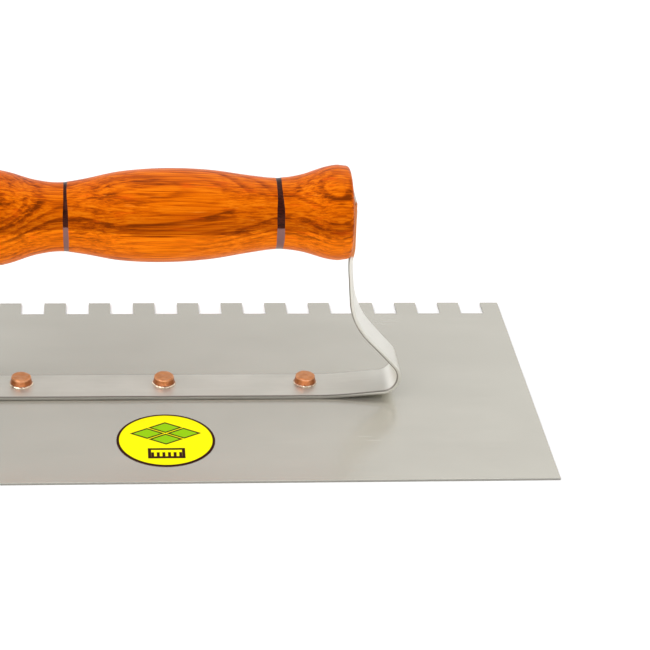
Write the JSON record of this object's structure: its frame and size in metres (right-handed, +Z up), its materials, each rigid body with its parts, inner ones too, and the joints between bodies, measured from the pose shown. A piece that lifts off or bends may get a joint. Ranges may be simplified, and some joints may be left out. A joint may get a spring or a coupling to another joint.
{
  "type": "notched trowel",
  "caption": "Flat rectangular steel trowel blade with square notches along one long edge, a riveted strap and a turned wooden handle.",
  "frame": {"origin": "centre of the blade's underside, on the surface the trowel rests on", "axes": "+X along the blade and the handle, +Y towards the notched edge, +Z up from the blade to the handle"},
  "size_m": [0.25, 0.12, 0.0825],
  "materials": {
    "blade_steel": "rolled sheet with fine lengthwise brushing, satin",
    "strap_steel": "bright strip, satin, with smooth rounded edges",
    "copper": "hammered copper, satin",
    "handle_wood": "turned hardwood, orange-brown varnish, two dark rings round its necks",
    "rod_steel": "peened steel, dull",
    "label_film": "printed sticker, yellow with a dark rim and a plain pattern"
  },
  "bodies": {
    "root": {"blade": "blade_steel", "strap": "strap_steel", "rivet_left": "copper", "rivet_middle": "copper", "rivet_right": "copper", "handle": "handle_wood", "handle_rod": "rod_steel", "label": "label_film"}
  },
  "joints": []
}
